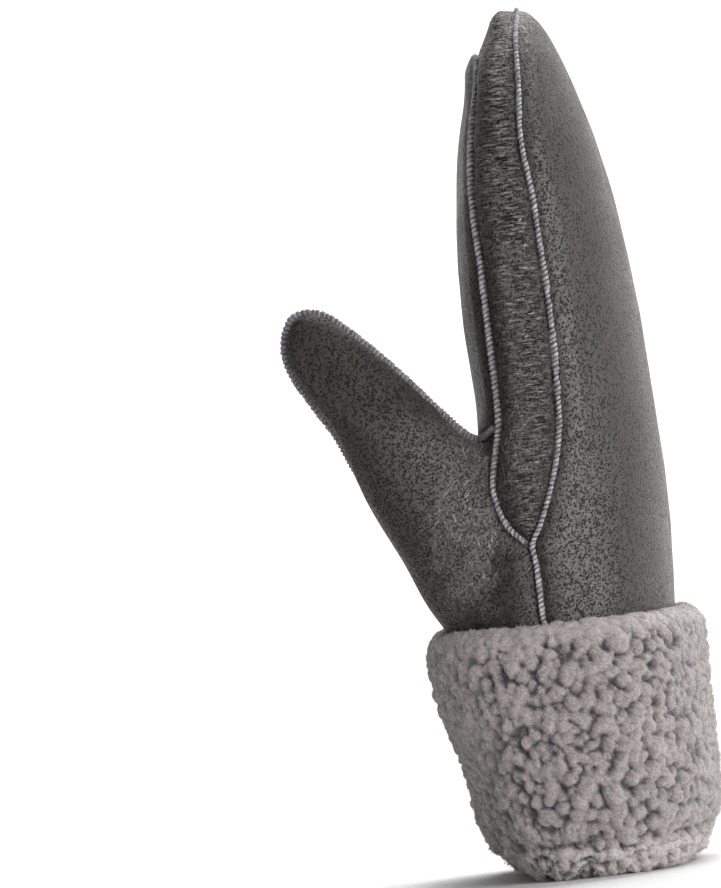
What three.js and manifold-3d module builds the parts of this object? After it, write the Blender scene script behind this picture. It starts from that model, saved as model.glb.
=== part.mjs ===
// A right-hand sheepskin mitten that stands on its turned-back cuff.
// X runs from the palm to the back of the hand, Y from the index finger to the little finger,
// and Z up to the fingertips. Every length is in millimetres.
import * as THREE from "three";
import { mergeVertices } from "three/addons/utils/BufferGeometryUtils.js";
import Module from "manifold-3d";

const wasm = await Module();
wasm.setup();

// Hand
const HAND_LENGTH = 200; // edge of the cuff to the fingertips
const HAND_DEPTH = 59; // palm to back at the knuckles
const HAND_WIDTH = 103; // index finger to little finger at the knuckles
const HIDE = 3; // leather with its clipped wool
const PALM_SQUARENESS = 2.8; // exponent of the section's palm half
const BACK_SQUARENESS = 2.25; // exponent of the section's back half

// Cuff
const CUFF_HEIGHT = 82.4;
const CUFF_FLEECE = 9; // curly wool outside the turned-back hide
const CUFF_LINING = 5; // flattened wool inside the wrist
const FOLD_RISE = 9; // wool under the fold of the hide
const CURL_RISE = 2; // height of a curl above its neighbours' valleys
const CURL_WIDTH = 11.4; // pitch of the curls round the cuff
const CURL_HEIGHT = 10; // pitch of the rows of curls
const CURL_UNEVEN = 0.55; // how much one curl's rise differs from the next
const CURL_BEAT = { round: 2.3, up: 1.7 }; // radians from one curl to the next, so no row repeats
const CUFF_GIRTH = 1.26; // as a share of the girth of a circle between the hand's width and depth
const PLAIN_RIM = 0.05; // share of the cuff's height at either edge where the wool has no curls

// Thumb
const THUMB_LENGTH = 110.5; // root inside the hand to the tip
const THUMB_WIDTH = 40.5; // across the thumb at the crotch, in the plane of its lean
const THUMB_THICKNESS = 35;
const THUMB_LEAN = 33.9; // degrees from upright, towards the palm
const THUMB_OFFSET = 33; // middle of the thumb to the middle of the hand
const THUMB_ROOT_RISE = 15; // root above the edge of the cuff
const THUMB_ROOT_IN = 19.5; // root from the middle of the hand, towards the palm
const THUMB_SQUARENESS = 2.15;

// Raised seams, where two edges of hide are whipped together
const WELT_WIDTH = 2;
const WELT_RISE = 3;
const GAP = 0.3; // between neighbouring pieces
const CROTCH_TURN = 16; // length over which the thumb's seam turns to the index side
const TURN_BEFORE = { x: 0.65, z: 0.3 }; // share of that length that lies before the crotch
const HEEL_SEAM_DROP = 80; // height over which that seam runs from the thumb to the heel
const HEEL_SEAM_IN = 8; // seam on the heel from mid hand, towards the index finger

// Fineness of the facets
const HAND_SIDES = 28;
const THUMB_SIDES = 18;
const STEPS_PER_ROW = 1; // facet rows for each row of a table
const SEAM_STEPS_PER_ROW = 1.05;
const TURN_STEPS = 7; // facets over the turn of the thumb's seam
const HEEL_COARSENESS = 2; // how much longer its facets are below the turn
const FAR = 400; // beyond every piece
const BEYOND_HAND = 0.62; // a little over half, so just outside the hand as a share of its width

// Sections of the hand. Height is a share of the cuff's height plus a share of the hand's length,
// palm, back and widest are shares of the hand's depth from its middle, and width of its width.
const HAND_SECTIONS = [
  { cuff: 0.106, hand: 0, palm: -0.42, back: 0.475, widest: 0.02, width: 1.06 },
  { cuff: 0.24, hand: 0, palm: -0.486, back: 0.55, widest: 0.01, width: 1.14 },
  { cuff: 0.45, hand: 0, palm: -0.525, back: 0.555, widest: 0, width: 1.19 },
  { cuff: 0.7, hand: 0, palm: -0.618, back: 0.563, widest: -0.03, width: 1.17 },
  { cuff: 1, hand: 0, palm: -0.655, back: 0.578, widest: -0.05, width: 1.08 },
  { cuff: 1, hand: 0.15, palm: -0.54, back: 0.608, widest: -0.08, width: 1.04 },
  { cuff: 1, hand: 0.325, palm: -0.4, back: 0.595, widest: -0.1, width: 1.01 },
  { cuff: 1, hand: 0.5, palm: -0.41, back: 0.565, widest: -0.1, width: 1 },
  { cuff: 1, hand: 0.65, palm: -0.39, back: 0.513, widest: -0.1, width: 0.975 },
  { cuff: 1, hand: 0.775, palm: -0.335, back: 0.432, widest: -0.07, width: 0.915 },
  { cuff: 1, hand: 0.865, palm: -0.262, back: 0.35, widest: -0.03, width: 0.8 },
  { cuff: 1, hand: 0.93, palm: -0.195, back: 0.275, widest: 0.01, width: 0.645 },
  { cuff: 1, hand: 0.9725, palm: -0.12, back: 0.205, widest: 0.035, width: 0.46 },
  { cuff: 1, hand: 0.995, palm: -0.055, back: 0.135, widest: 0.045, width: 0.24 },
  { cuff: 1, hand: 1, palm: 0.02, back: 0.08, widest: 0.05, width: 0.06 },
];

// Sections of the thumb. Along is a share of its length, under and over of its width on either
// side of the axis, thick of its thickness, and side of its offset from the middle of the hand.
const THUMB_SECTIONS = [
  { along: -0.25, under: -0.7, over: 0.74, thick: 1.1, side: 0.6 },
  { along: 0.045, under: -0.647, over: 0.667, thick: 1.22, side: 0.77 },
  { along: 0.244, under: -0.548, over: 0.593, thick: 1.14, side: 0.91 },
  { along: 0.398, under: -0.477, over: 0.523, thick: 1, side: 0.97 },
  { along: 0.516, under: -0.395, over: 0.459, thick: 0.886, side: 1 },
  { along: 0.643, under: -0.301, over: 0.42, thick: 0.8, side: 1 },
  { along: 0.76, under: -0.279, over: 0.375, thick: 0.714, side: 1 },
  { along: 0.869, under: -0.252, over: 0.316, thick: 0.6, side: 1 },
  { along: 0.941, under: -0.178, over: 0.259, thick: 0.457, side: 1 },
  { along: 0.982, under: -0.06, over: 0.17, thick: 0.25, side: 1 },
  { along: 1, under: 0.03, over: 0.08, thick: 0.06, side: 1 },
];

// Where the two long seams run, as shares of the hand's depth from its middle. Index and little
// are the seam on those fingers' sides, and mid is where its cut crosses between them, inside the
// hand. Where both seams stand at one place there is a single seam.
const BACK_SEAM = [
  { hand: -0.47, index: -0.17, mid: -0.155, little: -0.14 },
  { hand: 0, index: -0.17, mid: -0.155, little: -0.14 },
  { hand: 0.1, index: -0.172, mid: -0.151, little: -0.13 },
  { hand: 0.13, index: -0.185, mid: -0.155, little: -0.125 },
  { hand: 0.155, index: -0.135, mid: -0.128, little: -0.12 },
  { hand: 0.185, index: -0.076, mid: -0.096, little: -0.115 },
  { hand: 0.225, index: -0.019, mid: -0.065, little: -0.11 },
  { hand: 0.265, index: 0.022, mid: -0.042, little: -0.105 },
  { hand: 0.31, index: 0.056, mid: -0.022, little: -0.1 },
  { hand: 0.335, index: 0.07, mid: -0.014, little: -0.098 },
  { hand: 0.4, index: 0.086, mid: -0.002, little: -0.09 },
  { hand: 0.5, index: 0.085, mid: 0.003, little: -0.08 },
  { hand: 0.56, index: 0.073, mid: 0.002, little: -0.07 },
  { hand: 0.6, index: 0.066, mid: 0.003, little: -0.06 },
  { hand: 0.7, index: 0.06, mid: 0.013, little: -0.035 },
  { hand: 0.78, index: 0.036, mid: 0.011, little: -0.015 },
  { hand: 0.87, index: 0.048, mid: 0.034, little: 0.02 },
  { hand: 0.9, index: 0.052, mid: 0.043, little: 0.035 },
  { hand: 0.935, index: 0.06, mid: 0.055, little: 0.05 },
  { hand: 0.96, index: 0.063, mid: 0.061, little: 0.06 },
  { hand: 1, index: 0.08, mid: 0.08, little: 0.08 },
  { hand: 1.05, index: 0.095, mid: 0.095, little: 0.095 },
];
const PALM_SEAM = [
  { hand: -0.47, index: -0.17, mid: -0.155, little: -0.14 },
  { hand: 0, index: -0.17, mid: -0.155, little: -0.14 },
  { hand: 0.1, index: -0.172, mid: -0.151, little: -0.13 },
  { hand: 0.13, index: -0.195, mid: -0.155, little: -0.125 },
  { hand: 0.155, index: -0.275, mid: -0.128, little: -0.12 },
  { hand: 0.185, index: -0.33, mid: -0.096, little: -0.115 },
  { hand: 0.225, index: -0.365, mid: -0.095, little: -0.11 },
  { hand: 0.265, index: -0.36, mid: -0.071, little: -0.105 },
  { hand: 0.31, index: -0.315, mid: -0.052, little: -0.1 },
  { hand: 0.335, index: -0.295, mid: -0.044, little: -0.098 },
  { hand: 0.4, index: -0.29, mid: -0.032, little: -0.09 },
  { hand: 0.5, index: -0.29, mid: -0.028, little: -0.08 },
  { hand: 0.56, index: -0.289, mid: -0.029, little: -0.085 },
  { hand: 0.6, index: -0.288, mid: -0.027, little: -0.115 },
  { hand: 0.7, index: -0.308, mid: -0.018, little: -0.18 },
  { hand: 0.78, index: -0.288, mid: -0.01, little: -0.205 },
  { hand: 0.87, index: -0.247, mid: -0.03, little: -0.215 },
  { hand: 0.9, index: -0.232, mid: -0.1, little: -0.21 },
  { hand: 0.935, index: -0.21, mid: -0.2, little: -0.21 },
  { hand: 0.96, index: -0.3, mid: -0.3, little: -0.3 },
  { hand: 1, index: -0.5, mid: -0.5, little: -0.5 },
  { hand: 1.05, index: -0.65, mid: -0.65, little: -0.65 },
];
const SEAM_AT = 0.9; // share of the half width at which a seam meets the hide
const SEAM_BEND = 0.25; // roundness of its cut at mid hand, as a share of the half width
const SEAM_REACH = 1.15; // share of the half width that the cut runs out to
const LEAST_HALF = 0.1; // least half width that the seams cross over, as a share of the hand's width
const SLOPE_SPAN = 0.25; // rows either side over which a seam's slope is taken

// The cuff's wool. Up is a share of the cuff's height, and out of the fleece beyond the hide.
const FLEECE_PROFILE = [
  { up: 0, out: 0.1 },
  { up: 0.02, out: 0.35 },
  { up: 0.06, out: 0.72 },
  { up: 0.12, out: 0.97 },
  { up: 0.25, out: 1 },
  { up: 0.9, out: 1 },
  { up: 0.96, out: 0.86 },
  { up: 0.99, out: 0.55 },
  { up: 1, out: 0.2 },
];
// The mouth inside it. In is a share of the lining inside the hide.
const MOUTH_PROFILE = [
  { up: -0.05, in: 0.1 },
  { up: 0, in: 0.1 },
  { up: 0.04, in: 0.75 },
  { up: 0.12, in: 1 },
  { up: 1.05, in: 1 },
];

const FINISHES = {
  leather: { color: 0x4b4948, roughness: 0.5 },
  wool: { color: 0x9f9794, roughness: 0.95 },
  thread: { color: 0x8b868a, roughness: 0.95 },
};

const { lerp, clamp, smoothstep, degToRad } = THREE.MathUtils;

// The value of a column at a place between rows, on a smooth curve through every row.
function between(rows, name, place) {
  const last = rows.length - 1;
  const row = Math.min(Math.floor(place), last - 1);
  const [a, b, c, d] = [-1, 0, 1, 2].map((step) => rows[clamp(row + step, 0, last)][name]);
  const t = place - row;
  const bend = 2 * a - 5 * b + 4 * c - d;
  const twist = 3 * (b - c) + d - a;
  return b + (t / 2) * (c - a + t * (bend + t * twist));
}

// Evenly numbered places from a table's first row to its last.
function places(rows, stepsPerRow) {
  const steps = Math.round((rows.length - 1) * stepsPerRow);
  return Array.from({ length: steps + 1 }, (_, step) => ((rows.length - 1) * step) / steps);
}

// A closed mesh through loops of equally many points, with a fan over each end. Each quad is
// split along whichever diagonal stands further out, or all alike, so that two borders with
// different offsets run parallel.
function loft(loops, alike = false) {
  const sides = loops[0].length;
  const centres = loops.map((loop) =>
    loop.reduce((sum, point) => sum.add(point), new THREE.Vector3()).divideScalar(sides));
  const points = [...loops.flat(), centres[0], centres.at(-1)];
  const faces = [];
  const lastLoop = (loops.length - 1) * sides;
  for (let side = 0; side < sides; side++) {
    const next = (side + 1) % sides;
    for (let start = 0; start < lastLoop; start += sides) {
      const quad = [start + side, start + next, start + sides + next, start + sides + side];
      const [a, b, c, d] = quad;
      const middle = centres[start / sides].clone().add(centres[start / sides + 1]);
      const reach = (from, to) => points[from].clone().add(points[to]).distanceTo(middle);
      if (alike || reach(a, c) >= reach(b, d)) faces.push(a, b, c, a, c, d);
      else faces.push(a, b, d, b, c, d);
    }
    faces.push(next, side, points.length - 2);
    faces.push(lastLoop + side, lastLoop + next, points.length - 1);
  }
  return new THREE.BufferGeometry().setFromPoints(points).setIndex(faces);
}

// A three.js geometry as a solid that can be joined and cut.
function solid(geometry) {
  const bare = geometry.clone();
  bare.deleteAttribute("normal");
  bare.deleteAttribute("uv");
  const merged = mergeVertices(bare);
  const vertProperties = merged.attributes.position.array;
  const triVerts = new Uint32Array(merged.index.array);
  const made = new wasm.Manifold(new wasm.Mesh({ numProp: 3, vertProperties, triVerts }));
  if (made.volume() > 0) return made;
  const turned = triVerts.reverse();
  return new wasm.Manifold(new wasm.Mesh({ numProp: 3, vertProperties, triVerts: turned }));
}

const handHeight = (row) => row.cuff * CUFF_HEIGHT + row.hand * HAND_LENGTH;

// How far a table's curve of height against radius leans, as a unit normal.
function normalOf(radius, height, place, last) {
  const from = Math.max(place - SLOPE_SPAN, 0);
  const to = Math.min(place + SLOPE_SPAN, last);
  const out = height(to) - height(from);
  const up = radius(from) - radius(to);
  const length = Math.hypot(out, up);
  return { out: out / length, up: up / length };
}

// A point on a squared oval that reaches from low to high in one direction and half either side
// in the other.
function ovalPoint(angle, { low, high, widest, half }, lowSquareness, highSquareness) {
  const [c, s] = [Math.cos(angle), Math.sin(angle)];
  const power = 2 / (c < 0 ? lowSquareness : highSquareness);
  const reach = c < 0 ? widest - low : high - widest;
  return {
    across: widest + reach * Math.sign(c) * Math.abs(c) ** power,
    aside: half * Math.sign(s) * Math.abs(s) ** power,
  };
}

// The hand's section at a place in its table, grown by a distance that may be negative.
function handSection(place, grow) {
  const at = (name) => between(HAND_SECTIONS, name, place);
  const height = (p) => handHeight({
    cuff: between(HAND_SECTIONS, "cuff", p),
    hand: between(HAND_SECTIONS, "hand", p),
  });
  const radius = (p) =>
    (between(HAND_SECTIONS, "width", p) * HAND_WIDTH +
      (between(HAND_SECTIONS, "back", p) - between(HAND_SECTIONS, "palm", p)) * HAND_DEPTH) / 4;
  const normal = normalOf(radius, height, place, HAND_SECTIONS.length - 1);
  return {
    low: at("palm") * HAND_DEPTH - grow * normal.out,
    high: at("back") * HAND_DEPTH + grow * normal.out,
    widest: at("widest") * HAND_DEPTH,
    half: (at("width") * HAND_WIDTH) / 2 + grow * normal.out,
    height: height(place) + grow * normal.up,
  };
}

// Points evenly spaced along a closed curve, starting where the curve starts.
function evenly(curvePoint, count) {
  const fine = 8 * count;
  const dense = Array.from({ length: fine + 1 }, (_, n) => curvePoint((2 * Math.PI * n) / fine));
  const run = [0];
  for (let n = 1; n <= fine; n++) run.push(run[n - 1] + dense[n].distanceTo(dense[n - 1]));
  return Array.from({ length: count }, (_, n) => {
    const goal = (run[fine] * n) / count;
    const after = Math.max(run.findIndex((length) => length >= goal), 1);
    const share = (goal - run[after - 1]) / (run[after] - run[after - 1]);
    return dense[after - 1].clone().lerp(dense[after], share);
  });
}

// One loop round the hand. Ripple tells how far each point stands out from the section.
function handLoop(section, sides, height = section.height, ripple = () => 0) {
  const loop = evenly((angle) => {
    const { across, aside } = ovalPoint(angle, section, PALM_SQUARENESS, BACK_SQUARENESS);
    return new THREE.Vector3(across, aside, height);
  }, sides);
  return loop.map((point, side) => {
    const along = loop[(side + 1) % sides].clone().sub(loop[(side + sides - 1) % sides]);
    const out = new THREE.Vector3(along.y, -along.x, 0).normalize();
    return point.clone().addScaledVector(out, ripple(side));
  });
}

// The hand as one solid, grown by a distance, with its open end carried down by a drop.
function handSolid(grow, drop = 0) {
  const sections = places(HAND_SECTIONS, STEPS_PER_ROW).map((place) => handSection(place, grow));
  const loops = sections.map((section) => handLoop(section, HAND_SIDES));
  const foot = sections[0];
  if (drop > 0) loops.unshift(handLoop(foot, HAND_SIDES, foot.height - drop));
  return solid(loft(loops));
}

const lean = degToRad(THUMB_LEAN);
const thumbAxis = new THREE.Vector3(-Math.sin(lean), 0, Math.cos(lean));
const thumbAcross = new THREE.Vector3(Math.cos(lean), 0, Math.sin(lean));
const thumbRoot = new THREE.Vector3(-THUMB_ROOT_IN, 0, CUFF_HEIGHT + THUMB_ROOT_RISE);

const thumbPoint = (along, across, y) =>
  thumbRoot.clone().addScaledVector(thumbAxis, along).addScaledVector(thumbAcross, across).setY(y);

// The thumb as one solid, grown by a distance.
function thumbSolid(grow) {
  const last = THUMB_SECTIONS.length - 1;
  const length = (p) => between(THUMB_SECTIONS, "along", p) * THUMB_LENGTH;
  const radius = (p) =>
    (between(THUMB_SECTIONS, "over", p) - between(THUMB_SECTIONS, "under", p)) * THUMB_WIDTH / 2;
  const loops = places(THUMB_SECTIONS, STEPS_PER_ROW).map((place) => {
    const at = (name) => between(THUMB_SECTIONS, name, place);
    const normal = normalOf(radius, length, place, last);
    const section = {
      low: at("under") * THUMB_WIDTH - grow * normal.out,
      high: at("over") * THUMB_WIDTH + grow * normal.out,
      half: (at("thick") * THUMB_THICKNESS) / 2 + grow * normal.out,
    };
    section.widest = (section.low + section.high) / 2;
    return evenly((angle) => {
      const point = ovalPoint(angle, section, THUMB_SQUARENESS, THUMB_SQUARENESS);
      const y = point.aside - at("side") * THUMB_OFFSET;
      return thumbPoint(length(place) + grow * normal.up, point.across, y);
    }, THUMB_SIDES);
  });
  return solid(loft(loops));
}

const handAndThumb = (grow) => handSolid(grow).add(thumbSolid(grow));

// The hand's half width at a height, never quite nothing.
function halfWidthAt(height) {
  const sections = places(HAND_SECTIONS, STEPS_PER_ROW).map((place) => handSection(place, 0));
  const above = clamp(sections.findIndex((s) => s.height >= height), 1, sections.length - 1);
  const [from, to] = [sections[above - 1], sections[above]];
  const share = clamp((height - from.height) / (to.height - from.height), 0, 1);
  return Math.max(lerp(from.half, to.half, share), LEAST_HALF * HAND_WIDTH);
}

// Everything on one side of a long seam: side 1 is towards the back of the hand, -1 the palm.
// Offset moves the border, square to the seam, towards the back of the hand. The border runs
// from the seam on each side of the hand towards the mid plane, so that it meets the hide squarely.
function besideLongSeam(course, side, offset) {
  const outer = [1 / 3, 2 / 3, 1].map((share) => share * SEAM_AT).concat(SEAM_REACH);
  const shares = [...outer.map((share) => -share).reverse(), 0, ...outer];
  const across = (name, place) => between(course, name, place) * HAND_DEPTH;
  const height = (place) => CUFF_HEIGHT + between(course, "hand", place) * HAND_LENGTH;
  const last = course.length - 1;
  const loops = places(course, SEAM_STEPS_PER_ROW).map((place) => {
    const z = height(place);
    const half = halfWidthAt(z);
    const mid = across("mid", place);
    const [place0, place1] = [Math.max(place - SLOPE_SPAN, 0), Math.min(place + SLOPE_SPAN, last)];
    const edge = shares.map((share) => {
      const finger = share < 0 ? "index" : "little";
      const onSide = across(finger, place);
      const rise = (across(finger, place1) - across(finger, place0)) /
        (height(place1) - height(place0));
      const tilt = (onSide - mid) / half;
      const bend = Math.hypot(share, SEAM_BEND) - SEAM_BEND;
      const x = lerp(mid, onSide, bend / (Math.hypot(SEAM_AT, SEAM_BEND) - SEAM_BEND));
      return new THREE.Vector3(x + offset * Math.hypot(1, rise, tilt), share * half, z);
    });
    const [first, final] = [edge[0].clone().setY(-FAR), edge.at(-1).clone().setY(FAR)];
    const corners = [FAR, -FAR].map((y) => new THREE.Vector3(side * FAR, y, z));
    return [first, ...edge, final, ...corners];
  });
  return solid(loft(loops, true));
}

// The thumb's seam divides it front from back, turns to the index side at the crotch, and runs
// from the underside of the thumb to the middle of the palm at the cuff.
const crotchRow = THUMB_SECTIONS[3];
const crotch = thumbPoint(crotchRow.along * THUMB_LENGTH, crotchRow.over * THUMB_WIDTH, 0);

function thumbSeamY(x, z) {
  const heelTop = crotch.z + CROTCH_TURN;
  const onHeel = smoothstep(z, heelTop - HEEL_SEAM_DROP, heelTop);
  const turnFromX = crotch.x - CROTCH_TURN * TURN_BEFORE.x;
  const turnFromZ = crotch.z - CROTCH_TURN * TURN_BEFORE.z;
  const turnX = smoothstep(x, turnFromX, turnFromX + CROTCH_TURN);
  const turnZ = smoothstep(z, turnFromZ, turnFromZ + CROTCH_TURN);
  const below = lerp(-HEEL_SEAM_IN, -THUMB_OFFSET, onHeel);
  return lerp(below, -HAND_WIDTH * BEYOND_HAND, turnX * turnZ);
}

// Everything in front of the thumb's seam (side -1, the index side) or behind it (side 1).
function besideThumbSeam(side, offset) {
  const turnFrom = crotch.x - CROTCH_TURN * TURN_BEFORE.x;
  const turns = Array.from({ length: TURN_STEPS + 1 }, (_, n) => n / TURN_STEPS);
  const xs = [-FAR, ...turns.map((share) => turnFrom + share * CROTCH_TURN), FAR];
  const seamHeight = crotch.z - CUFF_HEIGHT + CROTCH_TURN;
  const rows = Math.round((TURN_STEPS * seamHeight) / (CROTCH_TURN * HEEL_COARSENESS));
  const near = Array.from({ length: rows + 1 }, (_, n) => CUFF_HEIGHT + (seamHeight * n) / rows);
  const slopeStep = CROTCH_TURN / TURN_STEPS / 2;
  const loops = [-FOLD_RISE, ...near, FAR].map((z) => {
    const edge = xs.map((x) => {
      const y = thumbSeamY(x, z);
      const slopeZ = (thumbSeamY(x, z + slopeStep) - y) / slopeStep;
      const slopeX = (thumbSeamY(x + slopeStep, z) - y) / slopeStep;
      return new THREE.Vector3(x, y + offset * Math.hypot(1, slopeX, slopeZ), z);
    });
    return [...edge, new THREE.Vector3(FAR, side * FAR, z), new THREE.Vector3(-FAR, side * FAR, z)];
  });
  return solid(loft(loops, true));
}

function blockBelow(height) {
  const block = new THREE.BoxGeometry(2 * FAR, 2 * FAR, 2 * FAR);
  return solid(block.translate(0, 0, height - FAR));
}

// Hide and seams
const hollow = handSolid(-HIDE, FOLD_RISE).add(thumbSolid(-HIDE));
const outside = handAndThumb(0);
const hide = outside.subtract(hollow);
const raised = handAndThumb(WELT_RISE).subtract(blockBelow(CUFF_HEIGHT + GAP));
const weltWall = outside.add(raised).subtract(hollow);

const weltEdge = WELT_WIDTH / 2;
const panelEdge = weltEdge + GAP;
const palmSide = besideLongSeam(PALM_SEAM, -1, -panelEdge);
const betweenSeams = (seam, offset) =>
  besideLongSeam(seam, 1, -offset).intersect(besideLongSeam(seam, -1, offset));

const pieces = {
  back_panel: [hide.intersect(besideLongSeam(BACK_SEAM, 1, panelEdge)), "leather"],
  side_gusset: [
    hide
      .intersect(besideLongSeam(BACK_SEAM, -1, -panelEdge))
      .intersect(besideLongSeam(PALM_SEAM, 1, panelEdge)),
    "leather",
  ],
  palm_panel: [hide.intersect(palmSide).intersect(besideThumbSeam(1, panelEdge)), "leather"],
  thumb_panel: [hide.intersect(palmSide).intersect(besideThumbSeam(-1, -panelEdge)), "leather"],
  seam_back: [weltWall.intersect(betweenSeams(BACK_SEAM, weltEdge)), "thread"],
  seam_palm: [
    weltWall
      .intersect(betweenSeams(PALM_SEAM, weltEdge))
      .intersect(besideLongSeam(BACK_SEAM, -1, -panelEdge)),
    "thread",
  ],
  seam_thumb: [
    weltWall
      .intersect(palmSide)
      .intersect(besideThumbSeam(1, -weltEdge))
      .intersect(besideThumbSeam(-1, weltEdge)),
    "thread",
  ],
  cuff: [cuffSolid(), "wool"],
};

// The hand's section at a share of the cuff's height, found between the rows in the cuff.
function cuffSection(up, grow) {
  const shares = HAND_SECTIONS.map((row) => row.cuff);
  const inCuff = shares.indexOf(1);
  const above = Math.max(shares.slice(0, inCuff + 1).findIndex((share) => share >= up), 1);
  const place = above - 1 + (up - shares[above - 1]) / (shares[above] - shares[above - 1]);
  return handSection(clamp(up > 1 ? inCuff : place, 0, inCuff), grow);
}

function profileAt(profile, name, up) {
  const row = clamp(profile.findIndex((r) => r.up >= up), 1, profile.length - 1);
  const [from, to] = [profile[row - 1], profile[row]];
  return lerp(from[name], to[name], clamp((up - from.up) / (to.up - from.up), 0, 1));
}

// The folded band of wool: curls outside, a slot for the hide, and a lining round the mouth.
function cuffSolid() {
  const girth = (CUFF_GIRTH * Math.PI * (HAND_WIDTH + HAND_DEPTH)) / 2;
  const curls = 2 * Math.round(girth / CURL_WIDTH);
  const curlRows = Math.round(CUFF_HEIGHT / CURL_HEIGHT);
  const rows = 2 * curlRows;
  const onRim = (up) => up <= PLAIN_RIM || up >= 1 - PLAIN_RIM;
  const rim = FLEECE_PROFILE.map((row) => row.up).filter(onRim);
  const inner = Array.from({ length: rows - 1 }, (_, n) => (n + 1) / rows);
  const ups = [...rim, ...inner.filter((up) => !onRim(up))];
  ups.sort((a, b) => a - b);
  const wool = ups.map((up, row) => {
    const out = profileAt(FLEECE_PROFILE, "out", up);
    const flat = row < 1 || row > ups.length - 2;
    const ripple = (side) => {
      const stagger = Math.floor(row / 2) % 2;
      const onCurl = row % 2 === 1 && (side + stagger) % 2 === 0;
      const uneven = CURL_UNEVEN * Math.sin(side * CURL_BEAT.round + row * CURL_BEAT.up);
      return flat ? 0 : (CURL_RISE / 2) * (onCurl ? 1 + uneven : -1 + uneven);
    };
    const section = cuffSection(up, out * CUFF_FLEECE);
    return handLoop(section, curls, up * CUFF_HEIGHT, ripple);
  });
  const mouth = MOUTH_PROFILE.map((row) =>
    handLoop(cuffSection(row.up, -HIDE - row.in * CUFF_LINING), HAND_SIDES, row.up * CUFF_HEIGHT));
  const slot = handSolid(GAP, GAP)
    .add(thumbSolid(GAP))
    .subtract(handSolid(-HIDE - GAP, FOLD_RISE));
  return solid(loft(wool)).subtract(solid(loft(mouth))).subtract(slot);
}

// A solid as a named mesh with flat facets.
function meshOf(name, body, finish) {
  const mesh = body.getMesh();
  const geometry = new THREE.BufferGeometry()
    .setAttribute("position", new THREE.BufferAttribute(mesh.vertProperties, 3))
    .setIndex(new THREE.BufferAttribute(mesh.triVerts, 1));
  const material = new THREE.MeshStandardMaterial({ ...FINISHES[finish], flatShading: true });
  const made = new THREE.Mesh(geometry, material);
  made.name = name;
  return made;
}

const mitten = new THREE.Group();
for (const [name, [body, finish]] of Object.entries(pieces)) {
  mitten.add(meshOf(name, body, finish));
}

// The origin is under the middle of the mitten, on the surface it stands on.
const box = new THREE.Box3().setFromObject(mitten);
const middle = box.getCenter(new THREE.Vector3());
mitten.position.set(-middle.x, -middle.y, -box.min.z);

export default mitten;
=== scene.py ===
# The looks of a right-hand sheepskin mitten that stands on its turned-back cuff.
# Lengths are in millimetres in the tables and in metres in the scene.
import math

import bmesh
import bpy
import numpy as np
from mathutils import Matrix, Vector, kdtree, noise
from mathutils.bvhtree import BVHTree


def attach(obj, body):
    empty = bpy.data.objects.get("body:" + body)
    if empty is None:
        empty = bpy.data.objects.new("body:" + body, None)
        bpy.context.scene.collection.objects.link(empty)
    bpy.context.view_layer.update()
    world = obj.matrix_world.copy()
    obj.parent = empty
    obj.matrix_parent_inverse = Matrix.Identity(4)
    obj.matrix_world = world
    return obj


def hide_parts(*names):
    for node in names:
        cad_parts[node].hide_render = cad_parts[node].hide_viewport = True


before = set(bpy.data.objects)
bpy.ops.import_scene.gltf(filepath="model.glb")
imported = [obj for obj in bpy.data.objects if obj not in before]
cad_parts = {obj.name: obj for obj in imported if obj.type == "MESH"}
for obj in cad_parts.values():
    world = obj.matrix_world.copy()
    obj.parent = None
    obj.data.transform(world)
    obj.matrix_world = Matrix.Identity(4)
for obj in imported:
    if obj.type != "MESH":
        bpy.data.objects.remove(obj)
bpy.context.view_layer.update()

MM = 0.001

# Sizes shared with the solids
HAND_LENGTH, HAND_DEPTH, HAND_WIDTH = 200, 59, 103
PALM_SQUARENESS, BACK_SQUARENESS = 2.8, 2.25
CUFF_HEIGHT = 82.4
THUMB_LENGTH, THUMB_WIDTH, THUMB_THICKNESS = 110.5, 40.5, 35
THUMB_LEAN, THUMB_OFFSET = math.radians(33.9), 33
THUMB_ROOT_RISE, THUMB_ROOT_IN, THUMB_SQUARENESS = 15, 19.5, 2.15
CROTCH_TURN, TURN_BEFORE_X, TURN_BEFORE_Z = 16, 0.65, 0.3
HEEL_SEAM_DROP, HEEL_SEAM_IN, PAST_SIDE = 80, 8, 0.62
MIDDLE = (21.221, -0.155)  # where the hand's own middle lies in the row frame

# Sections of the hand, from the cuff's foot to the tip. The columns are the height in cuff
# heights and in hand lengths, then the palm's side, the back's side and the widest place in
# hand depths, then the width in hand widths.
HAND = np.array([
    [0.106, 0, -0.42, 0.475, 0.02, 1.06],
    [0.24, 0, -0.486, 0.55, 0.01, 1.14],
    [0.45, 0, -0.525, 0.555, 0, 1.19],
    [0.7, 0, -0.618, 0.563, -0.03, 1.17],
    [1, 0, -0.655, 0.578, -0.05, 1.08],
    [1, 0.15, -0.54, 0.608, -0.08, 1.04],
    [1, 0.325, -0.4, 0.595, -0.1, 1.01],
    [1, 0.5, -0.41, 0.565, -0.1, 1],
    [1, 0.65, -0.39, 0.513, -0.1, 0.975],
    [1, 0.775, -0.335, 0.432, -0.07, 0.915],
    [1, 0.865, -0.262, 0.35, -0.03, 0.8],
    [1, 0.93, -0.195, 0.275, 0.01, 0.645],
    [1, 0.9725, -0.12, 0.205, 0.035, 0.46],
    [1, 0.995, -0.055, 0.135, 0.045, 0.24],
    [1, 1, 0.02, 0.08, 0.05, 0.06],
])
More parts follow.
